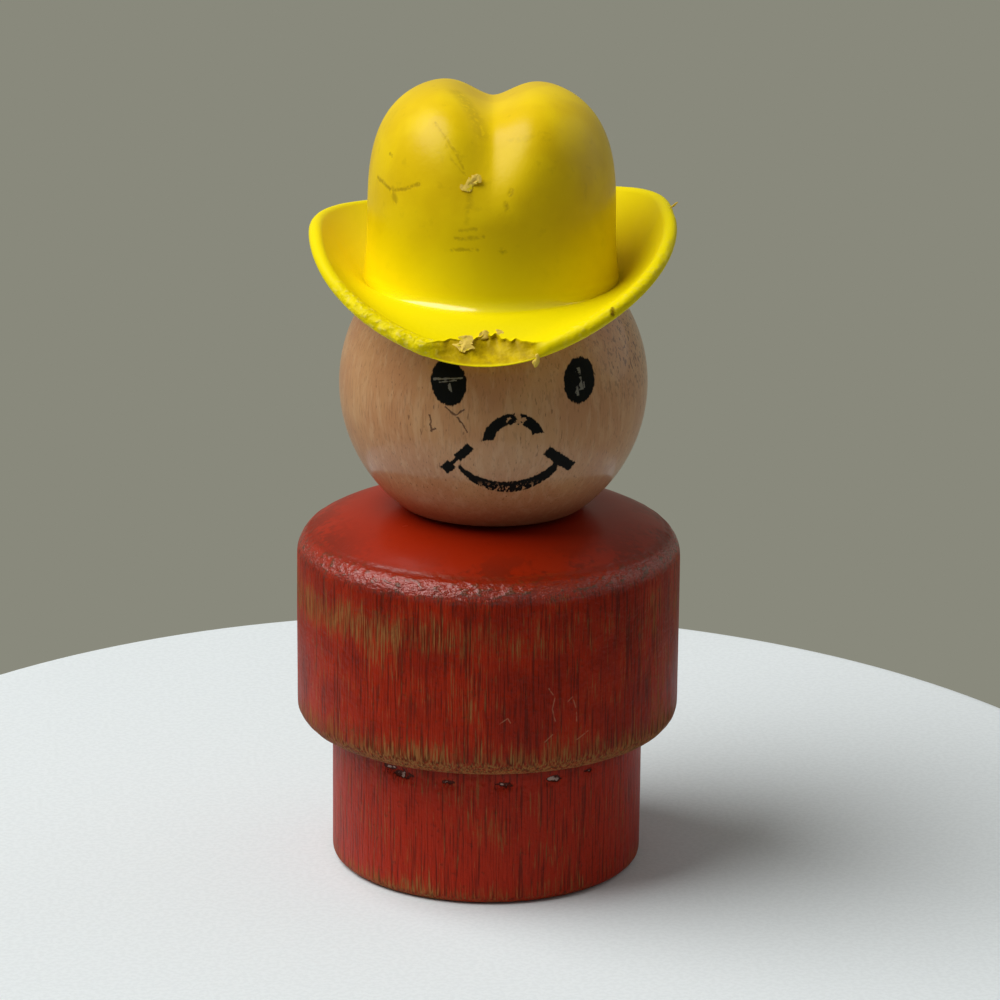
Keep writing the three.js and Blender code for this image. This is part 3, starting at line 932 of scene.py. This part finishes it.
@dataclass
class Dowel:
    """A round wooden bar with eased ends."""

    name: str
    node: str
    ride: Ride
    radius: float
    low: float
    high: float
    chamfer: float = 0.4
    corner: float = 0.06
    stations: int = 60
    sides: int = 96
    finish: DowelWood = DowelWood()

    def surface(self) -> Grid:
        """Rings of the revolved bar, with shallow flats left by its turning."""
        inner = self.radius - self.chamfer
        half = [(0, self.low), (inner, self.low), (self.radius, self.low + self.chamfer)]
        half += [(self.radius, self.high - self.chamfer), (inner, self.high), (0, self.high)]
        rows = revolve(turned_profile(np.array(half), self.corner, self.stations), self.sides)
        rows[..., :2] *= 1 - 0.006 * (1 + lumps(rows, 0.8, 2, 0.1))[..., None]
        return rows

    def build(self) -> list[Object]:
        """Makes the bar in place of its solid."""
        piece = closed_surface(self.name, self.surface())
        return [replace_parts(dress(piece, self.finish.material(), self.ride), self.node)]


@dataclass
class BallHead:
    """The ball head with its flat underside, bored for the neck dowel and the hat's peg."""

    centre: float = HEAD_CENTRE
    radius: float = HEAD_RADIUS
    flat_radius: float = 6.3
    neck_bore: float = 3.3
    neck_depth: float = 7.8
    peg_bore: float = 2.55
    peg_floor: float = 4.25
    corner: float = 0.06
    stations: int = 250
    sides: int = 300
    finish: ClearLacquer = ClearLacquer()

    def outline(self) -> Grid:
        """Half outline as radius and height, from the neck's bore to the peg's bore."""
        flat = -math.sqrt(self.radius**2 - self.flat_radius**2)
        start = math.degrees(math.asin(flat / self.radius))
        end = math.degrees(math.acos(self.peg_bore / self.radius))
        ball = arc((0, 0), self.radius, start, end, 240)
        neck_roof = flat + self.neck_depth
        neck = [(0, neck_roof), (self.neck_bore, neck_roof), (self.neck_bore, flat)]
        points = np.concatenate([neck, ball, [(self.peg_bore, self.peg_floor), (0, self.peg_floor)]])
        return points + np.array([0, self.centre])

    def surface(self) -> Grid:
        """Rings of the revolved outline, with a sanded ball's slight waves, set a little to one side."""
        rows = revolve(turned_profile(self.outline(), self.corner, self.stations), self.sides)
        middle = np.array([0, 0, self.centre])
        outside = smooth(np.hypot(rows[..., 0], rows[..., 1]), 4.0, 6.0)
        wave = 0.0018 * outside * (1 + lumps(rows, 4.0, 6))
        return middle + (rows - middle) * (1 - wave[..., None]) + np.array([HEAD_OFFSET, 0, 0])

    def build(self) -> list[Object]:
        """Makes the head in place of its solid."""
        piece = closed_surface("ball_head", self.surface())
        return [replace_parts(dress(piece, self.finish.material(), Ride.HEAD), "head")]


@dataclass
class Shred:
    """A torn shred of plastic on the hat, thin and curled away from the face that it stands on."""

    name: str
    root: Point
    along: Point
    facing: Point
    length: float
    width: float
    thickness: float = 0.16
    curl: float = 0.3
    seed: int = 1
    grip: float = 0.2
    rings: int = 26
    sides: int = 36

    def surface(self) -> Grid:
        """Rings of thin ovals along a curling line, whose width swells and dies and is torn by lumps."""
        u = steps(self.rings)
        v = np.linspace(0, 2 * np.pi, self.sides, endpoint=False)
        along = np.array(Vector(self.along).normalized())
        across = np.array(Vector(self.facing).cross(Vector(self.along)).normalized())
        up = np.cross(along, across)
        swell = np.sqrt(np.sin(np.pi * u).clip(0))
        flat = np.stack([u * self.length + 0 * v, self.width * np.cos(v) + 0 * u, 0 * u + 0 * v], -1)
        tatter = 1 + 0.75 * lumps(flat + self.seed * 7.3, 0.26, self.seed)
        tatter += 0.5 * lumps(flat, 0.13, self.seed)
        wide = self.width / 2 * swell * np.cos(v) * tatter
        crumple = 0.06 * lumps(flat + 3.1, 0.35, self.seed + 50) * swell
        thick = self.thickness / 2 * swell * np.sin(v) + self.curl * (u - self.grip) ** 2 + crumple
        out = self.length * (u - self.grip) * (1 + 0.12 * (tatter - 1))
        spread = out[..., None] * along + wide[..., None] * across + thick[..., None] * up
        return np.array(self.root) + spread

    def build(self, finish: Material) -> Object:
        """Makes the shred with the hat's finish, all torn and pale."""
        rows = self.surface()
        whole = np.ones(rows.shape[:2])
        # The torn mark also lays the torn face's painted shade, at 0.4 on a shred.
        marks = dict(zip(HAT_MARKS, (whole, 0.4 * whole, 0 * whole, whole, 0 * whole)))
        return dress(closed_surface(self.name, rows, marks), finish, Ride.HAT)


@dataclass
class MouldedHat:
    """The moulded hat: creased crown, rolled brim with a torn front, ball seat and peg socket.

    Heights are above the root of the brim. Angles round the hat are those of its ovals.
    """

    root_height: float = HEAD_CENTRE + 6.8
    turn: float = -8.0
    crown_half: Pair = (8.4, 9.1)
    crown_lean: float = 0.2
    brim_half: Pair = (12.3, 13.6)
    brim_bulge: float = 0.75
    right_bulge: float = 0.6
    crown_flare: float = 0.4
    wall_height: float = 4.65
    dome_height: float = 9.5
    fullness: float = 3.0
    shell: float = 1.3
    crease_depth: float = 1.55
    crease_half: float = 2.1
    crease_sharpness: float = 1.8
    crease_starts: Pair = (8.0, 44.0)
    crease_fades: Pair = (115.0, 175.0)
    thickness: float = 1.0
    root_round: float = 0.8
    root_lift: float = 0.5
    rise_front: float = -1.1
    rise_side: float = 5.15
    rise_back: float = 3.55
    side_sharpness: float = 2.0
    side_lean: float = 0.55
    back_lean: float = 0.8
    curl: Pair = (1.25, 1.7)
    seat_radius: float = HEAD_RADIUS + 0.3
    seat_centre: float = -6.8
    boss_radius: float = 3.55
    boss_foot: float = 5.35
    socket_radius: float = 2.55
    socket_top: float = 10.65
    columns: int = 360
    rim_rows: int = 24
    upper_rows: int = 42
    root_rows: int = 16
    wall_rows: int = 15
    dome_rows: int = 84
    front_focus: float = 0.7
    rim_radius: float = 13.5
    tear_angles: tuple[float, ...] = (-19, -15, -10, -5, -2.4, -1, 2.3, 4, 10, 12.5, 16)
    tear_depths: tuple[float, ...] = (0, 0.4, 0.8, 1.0, 1.7, 1.95, 1.9, 1.35, 0.7, 0.35, 0)
    tear_start: float = 0.3
    finish: MouldedPlastic = MouldedPlastic()

    def __post_init__(self) -> None:
        """Sets the angles of the columns, closer together at the front."""
        even = np.linspace(0, 2 * np.pi, self.columns, endpoint=False)
        self.angle = even - self.front_focus * np.sin(even)
        self.reach = np.linalg.norm(self.oval(1, 0, 0) - self.oval(0, 0, 0), axis=-1)
        wide, long = self.brim_half
        heading = np.degrees(np.arctan2(wide * np.sin(self.angle), long * np.cos(self.angle)))
        rim = np.stack([self.rim_radius * np.radians(heading), 0 * heading, 0 * heading], -1)
        self.tear = np.interp(heading, self.tear_angles, self.tear_depths, left=0, right=0)
        self.torn = smooth(self.tear, 0.05, 0.6)
        teeth = 0.32 * lumps(rim, 0.9, 3) + 0.2 * lumps(rim, 0.35, 5)
        self.edge = np.maximum(self.tear + teeth * self.torn, 0)
        left = smooth(heading, -54, -44) * smooth(heading, -12, -18)
        self.fray = left + 0.4 * smooth(heading, 15, 24) * smooth(heading, 75, 60)

    def oval(self, share: Any, inset: Any, height: Any) -> Grid:
        """Points of the plan's oval: share 0 is the crown's wall and 1 the rim, drawn in by an inset."""
        right = np.maximum(np.sin(self.angle), 0) ** 2 * np.maximum(np.sin(2 * self.angle), 0)
        bulge = share * (self.brim_bulge * np.sin(2 * self.angle) ** 2 + self.right_bulge * right) - inset
        wide = self.crown_half[0] + (self.brim_half[0] - self.crown_half[0]) * share + bulge
        long = self.crown_half[1] + (self.brim_half[1] - self.crown_half[1]) * share + bulge
        x, y = wide * np.sin(self.angle), -long * np.cos(self.angle)
        return np.stack(np.broadcast_arrays(x, y, height), -1)

    def wall(self, level: Any) -> Grid:
        """Points of the crown's outer wall at a level, flaring by the square of the way down."""
        return self.oval(0, -self.crown_flare * (1 - level / self.wall_height) ** 2, level)

    def dome(self, rise: Any, inset: float) -> Grid:
        """Points of the crown's dome at a rise of 0 at the wall to a quarter turn at the top.

        The dome is a squared-off ellipsoid: cosine and sine of the rise to the power 2 / fullness. The
        crease presses it towards the middle of the crown, by a bell curve across and a smooth start and
        end along.
        """
        out = np.maximum(np.cos(rise), 0) ** (2 / self.fullness)
        up = np.sin(rise) ** (2 / self.fullness)
        x = (self.crown_half[0] - inset) * out * np.sin(self.angle)
        y = -(self.crown_half[1] - inset) * out * np.cos(self.angle)
        z = (self.dome_height - inset - self.crown_lean * out * np.sin(self.angle)) * up
        along = np.degrees(np.arctan2(z, -y))
        shape = smooth(along, *self.crease_starts) * (1 - smooth(along, *self.crease_fades))
        bell = np.exp(-((np.abs(x) / self.crease_half) ** self.crease_sharpness))
        press = self.crease_depth * shape * bell
        kept = 1 - press / np.maximum(np.hypot(y, z), np.maximum(press, 1e-9))
        return np.stack([x, y * kept, self.wall_height + z * kept], -1)

    def dome_rises(self, count: int) -> Grid:
        """Rises that step evenly along the dome's side outline, as a column."""
        rise = np.pi / 2 * np.linspace(0, 1, 4000) ** 2
        rise = np.concatenate([rise / 2, np.pi / 2 - rise[::-1][1:] / 2])
        power = 2 / self.fullness
        out = self.crown_half[1] * np.cos(rise).clip(0) ** power
        side = np.stack([out, self.dome_height * np.sin(rise) ** power], -1)
        length = np.concatenate([[0], np.cumsum(np.hypot(*np.diff(side, axis=0).T))])
        return np.interp(np.linspace(0, length[-1], count), length, rise)[:, None]

    def brim_height(self, share: Any) -> Grid:
        """Height of the brim's lower face: a saddle of the angle, times a power of the share outwards."""
        side = np.abs(np.sin(self.angle)) ** self.side_sharpness
        end = np.where(np.cos(self.angle) > 0, self.rise_front, self.rise_back)
        back = 1 + self.back_lean * np.maximum(-np.cos(self.angle), 0)
        rise = end + (self.rise_side - end) * side + self.side_lean * back * np.sin(self.angle)
        curl = self.curl[0] + (self.curl[1] - self.curl[0]) * side
        return rise * np.maximum(share, 0) ** curl - self.thickness

    def brim(self, share: Any, along: Any, square: Any) -> Grid:
        """Points set off from the brim's lower face, along its slope and square to it."""
        step = 0.01
        slope = np.arctan2(self.brim_height(share) - self.brim_height(share - step), step * self.reach)
        out = along * np.cos(slope) - square * np.sin(slope)
        up = along * np.sin(slope) + square * np.cos(slope)
        return self.oval(share + out / self.reach, 0, self.brim_height(share) + up)

    def rim(self, along: Any, square: Any) -> Grid:
        """Points by millimetres outwards from the rim, or inwards along its curve, and square to it."""
        return self.brim(1 + np.minimum(along, 0) / self.reach, np.maximum(along, 0), square)

    def solve(self, gap: Any, low: float, high: float) -> Grid:
        """Halves an interval at each column until a gap that starts below 0 and ends above it is 0."""
        low, high = low + 0 * self.angle, high + 0 * self.angle
        for _ in range(40):
            middle = (low + high) / 2
            inside = gap(middle) < 0
            low, high = np.where(inside, middle, low), np.where(inside, high, middle)
        return (low + high) / 2

    def underside(self) -> list[Grid]:
        """Rings from the top of the peg's socket, over boss, inner crown and seat, to the brim's edge."""
        middle = np.array([0, 0, self.seat_centre])

        def inside_boss(rise: Grid) -> Grid:
            """How far the ceiling at a rise lies inside the boss's wall."""
            flat = np.moveaxis(self.dome(rise, self.shell)[..., :2], -1, 0)
            return self.boss_radius - np.hypot(*flat)

        def outside_seat(share: Grid) -> Grid:
            """How far the brim's lower face at a share lies outside the seat's ball."""
            return np.linalg.norm(self.brim(share, 0, 0) - middle, axis=-1) - self.seat_radius

        rise = self.solve(inside_boss, 0.2, 1.57)
        ceiling = self.dome(rise, self.shell)
        heading = ceiling[..., :2] / np.linalg.norm(ceiling[..., :2], axis=-1, keepdims=True)

        def tube(radius: Any, height: Any) -> Grid:
            """Ring points in the columns' directions at a radius and height."""
            radius, height = np.broadcast_arrays(radius, height)
            flat = heading * (radius + 0 * self.angle)[..., None]
            return np.concatenate([flat, (height + 0 * self.angle)[..., None]], -1)

        wall_foot = self.oval(0, self.shell, 0)[..., :2]
        wall_low = self.seat_centre + np.sqrt(self.seat_radius**2 - (wall_foot**2).sum(-1))
        wall_edge = np.concatenate([wall_foot, wall_low[..., None]], -1)
        edge_share = self.solve(outside_seat, -0.2, 0.6)
        across = self.brim(edge_share, 0, 0) - wall_edge
        between = (wall_edge - middle) + steps(9)[..., None] * across
        seat = middle + between * (self.seat_radius / np.linalg.norm(between, axis=-1, keepdims=True))
        boss_wall = self.boss_radius - self.socket_radius
        return [
            tube(self.socket_radius * steps(5), self.socket_top),
            tube(self.socket_radius, self.socket_top + steps(7)[1:] * (self.boss_foot - self.socket_top)),
            tube(self.socket_radius + steps(4)[1:] * boss_wall, self.boss_foot),
            tube(self.boss_radius, self.boss_foot + steps(8)[1:-1] * (ceiling[..., 2] - self.boss_foot)),
            self.dome(rise + steps(26) * (0 - rise), self.shell),
            self.oval(0, self.shell, self.wall_height + steps(7)[1:-1] * (wall_low - self.wall_height)),
            seat,
            self.brim(edge_share + steps(34) ** 0.9 * (1 - edge_share), 0, 0)[1:],
        ]

    def torn_rim(self, share: Grid) -> tuple[Grid, Grid]:
        """Points across the rim from the lower face to the upper one, and how torn each is.

        The whole rim is a half round. Where the tear is deep the part above its lower third becomes a
        rough, dished slope that ends inside on the upper face.

        Args:
            share: A column of shares across the rim.

        Returns:
            The points and the torn shares.
        """
        half = self.thickness / 2
        turn = np.pi * (share - 0.5)
        round_along, round_square = half * np.cos(turn), half * (1 + np.sin(turn))
        low = share < self.tear_start
        climb = np.clip((share - self.tear_start) / (1 - self.tear_start), 0, 1)
        ledge = (half * math.cos(0.2 * math.pi), half * (1 - math.sin(0.2 * math.pi)))
        inner = self.tear + (self.edge - self.tear) * climb**5
        along = np.where(low, round_along, ledge[0] - (inner + ledge[0]) * climb)
        square = np.where(low, round_square, ledge[1] + (self.thickness - ledge[1]) * climb)
        square = square - 0.16 * self.torn * np.sin(np.pi * climb) ** 1.2
        along = round_along * (1 - self.torn) + along * self.torn
        square = round_square * (1 - self.torn) + square * self.torn
        whole = self.rim(along, square)
        rough = lumps(whole, 0.55, 21) + 0.5 * lumps(whole, 0.25, 22)
        nick = np.sin(np.pi * share) * (0.07 * self.torn * np.sin(np.pi * climb) + 0.012 + 0.12 * self.fray)
        return self.rim(along - nick * (0.5 + rough), square), self.torn * smooth(climb, 0.0, 0.15)

    def surface(self) -> tuple[Grid, dict[str, Grid]]:
        """Rings from the socket under the hat to the top of its crown, and the finish's marks on them."""
        under = self.underside()
        rim, rim_torn = self.torn_rim(steps(self.rim_rows)[1:])
        root_share = self.root_round / self.reach
        inward = steps(self.upper_rows)[1:] ** 1.3
        lip = 0.1 * self.torn * np.exp(-((inward / 0.06) ** 2))
        ends = 1 - self.edge * self.torn / self.reach
        run = ends + inward * (root_share - ends)
        lift = self.root_lift * smooth(np.cos(self.angle), -0.3, 0.6)
        swell = lip + lift * smooth((run - root_share) * self.reach, 3.0, 0.0)
        upper = self.brim(run, 0, self.thickness + swell)
        t = steps(self.root_rows)[1:, :, None]
        foot = self.root_round + lift
        root = (1 - t) ** 2 * upper[-1] + 2 * t * (1 - t) * self.wall(lift) + t**2 * self.wall(foot)
        wall = self.wall(foot + steps(self.wall_rows)[1:-1] * (self.wall_height - foot))
        dome = self.dome(self.dome_rises(self.dome_rows), 0)
        rows = np.concatenate([*under, rim, upper, root, wall, dome])
        start = sum(len(part) for part in under)
        stop = start + len(rim)
        root_start = stop + len(upper)
        root_stop = root_start + len(root)
        torn, frayed, pale, bright = np.zeros((4, *rows.shape[:2]))
        torn[start:stop] = rim_torn
        torn[stop : stop + 4] = self.torn * np.linspace(0.5, 0, 4)[:, None]
        frayed[start - 3 : stop + 8] = self.fray
        bright[root_start:root_stop] = np.sin(np.pi * t[..., 0])
        # The brim mark, 1 on the brim and fading up the crown's wall, lays the brim's painted lighter lemon
        # as well as its matter finish.
        brim = 0.85 * smooth(rows[..., 2], 9.0, 0.5)
        brim[:root_stop] = 1
        return rows, dict(zip(HAT_MARKS, (brim, torn, frayed, pale, bright)))

    def placed(self, rows: Grid) -> Grid:
        """Turns the hat to how it sits, lifts it to its height and draws it in by a thousandth."""
        cos, sin = math.cos(math.radians(self.turn)), math.sin(math.radians(self.turn))
        spin = np.array([[cos, -sin, 0], [sin, cos, 0], [0, 0, 1]])
        return 0.999 * rows @ spin.T + np.array([0, 0, self.root_height])

    def shreds(self) -> list[Shred]:
        """The shreds that stand on the torn rim, hang from it and lift from the crown."""
        front, up = (0, -1, 0), (0, -0.7, 0.7)
        left, right, crown = (-0.2, -0.7, 0.7), (0.1, -0.7, 0.7), (-0.3, -0.9, 0.35)
        return [
            Shred("rim_shred_left", (-3.6, -12.75, 39.75), (0.35, 0.55, 0.6), left, 1.25, 1.0, 0.1, 0.3, 4),
            Shred("rim_shred_middle", (-1.95, -11.95, 40.3), (-0.4, 0.6, 0.6), up, 0.6, 0.75, 0.16, 0.2, 5),
            Shred("rim_shred_right", (-1.1, -11.95, 40.35), (0.5, 0.6, 0.5), right, 0.5, 0.6, 0.14, 0.15, 7),
            Shred("rim_crumb", (1.15, -14.0, 39.5), (-0.15, -0.1, -1), front, 0.95, 0.42, 0.3, 0.1, 9),
            Shred("rim_whisker", (12.0, -1.7, 46.35), (0.75, -0.05, 0.66), front, 0.75, 0.13, 0.1, 0.15, 11),
            Shred("crown_shred", (-2.95, -7.95, 49.5), (1.3, 0.35, 0.75), crown, 1.6, 0.85, 0.12, 0.4, 13),
        ]

    def build(self) -> list[Object]:
        """Makes the hat in place of its solid, and its shreds."""
        rows, marks = self.surface()
        finish = self.finish.material()
        hat = closed_surface("moulded_hat", self.placed(rows), marks)
        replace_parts(dress(hat, finish, Ride.HAT), "hat")
        return [hat, *(shred.build(finish) for shred in self.shreds())]


@dataclass
class Studio:
    """The round pale table, the grey wall behind it, the light and the camera."""

    table_centre: Pair = (-2.4, -4.7)
    table_half: Pair = (54.0, 60.0)
    table_edge: float = 2.0
    table_rings: int = 40
    table_colour: Colour = (232, 238, 239)
    wall_colour: Colour = (137, 137, 124)
    fill: Point = (0.155, 0.155, 0.15)
    key_heading: Point = (-0.56, -0.01, 0.83)
    key_distance: float = 700.0
    key_size: float = 680.0
    key_watts: float = 5.8
    side_heading: Point = (0.88, 0.22, 0.38)
    side_watts: float = 0.5
    view_turn: float = -8.0
    view_rise: float = 16.3
    view_distance: float = 300.0
    view_target: float = 27.0
    view_offset: Pair = (0.749, -1.304)
    view_roll: float = 0.56
    lens: float = 157.03

    def table(self) -> Object:
        """An oval plate in line with the view, its edge rolled over, open below for a low camera."""
        edge = np.radians(np.linspace(90, 0, 12))[1:]
        flat = np.zeros(self.table_rings)
        share = np.concatenate([np.linspace(0, 1, self.table_rings), np.ones(len(edge))])[:, None]
        over = np.concatenate([flat, np.cos(edge)])[:, None] * self.table_edge
        drop = np.concatenate([flat, 1 - np.sin(edge)])[:, None] * self.table_edge
        around = np.linspace(0, 2 * np.pi, 180, endpoint=False)
        across = (share * (self.table_half[0] - self.table_edge) + over) * np.sin(around)
        away = (share * (self.table_half[1] - self.table_edge) + over) * np.cos(around)
        turn = math.radians(self.view_turn)
        x = self.table_centre[0] + across * math.cos(turn) - away * math.sin(turn)
        y = self.table_centre[1] + across * math.sin(turn) + away * math.cos(turn)
        rows = np.stack([x, y, -0.02 - drop + 0 * x], -1)
        table = closed_surface("table", rows, open_end=True)
        table.data.materials.append(self.table_finish())
        return table

    def table_finish(self) -> Material:
        """Matt white laminate, clear to a camera that looks up from below."""
        material, bench = Bench.of_material("white_laminate")
        place = bench.place()
        speckle = bench.noise(place, (3.0, 3.0, 3.0), 2.0)
        dim = tuple(max(0, part - 5) for part in self.table_colour)
        colour = bench.layers(dim, (speckle.ramp(0.4, 0.6), self.table_colour))
        solid = bench.shader({"Base Color": colour, "Roughness": 0.75})
        clear = bench.node("ShaderNodeBsdfTransparent", {}, {})
        behind = bench.node("ShaderNodeNewGeometry", {}, {}, "Backfacing")
        seen = bench.node("ShaderNodeLightPath", {}, {}, "Is Camera Ray")
        bench.end(bench.blend(behind * seen, solid, clear))
        return material

    def wall(self) -> None:
        """Sets the world: the wall's grey to the camera and in reflections, a soft fill to the rest."""
        world = bpy.data.worlds.new("studio")
        world.use_nodes = True
        bpy.context.scene.world = world
        bench = Bench(world.node_tree)
        fill = bench.node("ShaderNodeBackground", {}, {"Color": (*self.fill, 1.0), "Strength": 1.0})
        wall = bench.node("ShaderNodeBackground", {}, {"Color": linear(self.wall_colour), "Strength": 1.0})
        path = bench.node("ShaderNodeLightPath", {}, {}).socket.node.outputs
        rays = ("Is Camera Ray", "Is Glossy Ray", "Is Transmission Ray")
        seen = strongest(Shade(bench, path[name]) for name in rays)
        bench.end(bench.blend(seen, fill, wall), "ShaderNodeOutputWorld")

    def lamp(self, name: str, heading: Point, watts: float) -> None:
        """Hangs a broad soft lamp in some direction from the figure."""
        data = bpy.data.lights.new(name, "AREA")
        data.shape = "DISK"
        data.size = self.key_size * METRES
        data.energy = watts
        lamp = bpy.data.objects.new(name, data)
        bpy.context.scene.collection.objects.link(lamp)
        out = Vector(heading).normalized()
        lamp.location = Vector((0, 0, self.view_target * METRES)) + out * self.key_distance * METRES
        lamp.rotation_euler = out.to_track_quat("Z", "Y").to_euler()

    def camera(self) -> None:
        """Sets the camera at the photograph's angle, with a slight roll."""
        turn, rise = math.radians(self.view_turn), math.radians(self.view_rise)
        back = Vector((math.sin(turn) * math.cos(rise), -math.cos(turn) * math.cos(rise), math.sin(rise)))
        right = Vector((math.cos(turn), math.sin(turn), 0))
        up = back.cross(right)
        target = Vector((0, 0, self.view_target))
        place = target + back * self.view_distance
        aim = target + right * self.view_offset[0] + up * self.view_offset[1]
        roll = Quaternion((0, 0, 1), math.radians(self.view_roll))
        facing = (aim - place).to_track_quat("-Z", "Y") @ roll
        data = bpy.data.cameras.new("camera")
        data.lens, data.sensor_width = self.lens, 36.0
        data.clip_start, data.clip_end = 0.01, 20.0
        camera = bpy.data.objects.new("camera", data)
        bpy.context.scene.collection.objects.link(camera)
        camera.matrix_world = Matrix.Translation(place * METRES) @ facing.to_matrix().to_4x4()
        bpy.context.scene.camera = camera

    def build(self) -> list[Object]:
        """Sets the table, the wall, the light and the camera."""
        bpy.context.scene.view_settings.view_transform = "Standard"
        self.wall()
        self.lamp("key", self.key_heading, self.key_watts)
        self.lamp("side", self.side_heading, self.side_watts)
        self.camera()
        return [self.table()]


def main() -> None:
    """Builds the figure's pieces and the studio in order, and reports each piece."""
    logging.basicConfig(level=logging.INFO, format="%(message)s")
    parts = [
        TurnedBody(),
        Dowel("neck_bar", "neck_dowel", Ride.BODY, 3.0, 15.3, 33.1),
        BallHead(),
        Dowel("hat_bar", "hat_peg", Ride.PEG, 2.25, 38.6124, 51.2124),
        MouldedHat(),
        Studio(),
    ]
    for part in parts:
        for piece in part.build():
            LOG.info("%s: %d faces", piece.name, len(piece.data.polygons))


if __name__ == "__main__":
    main()
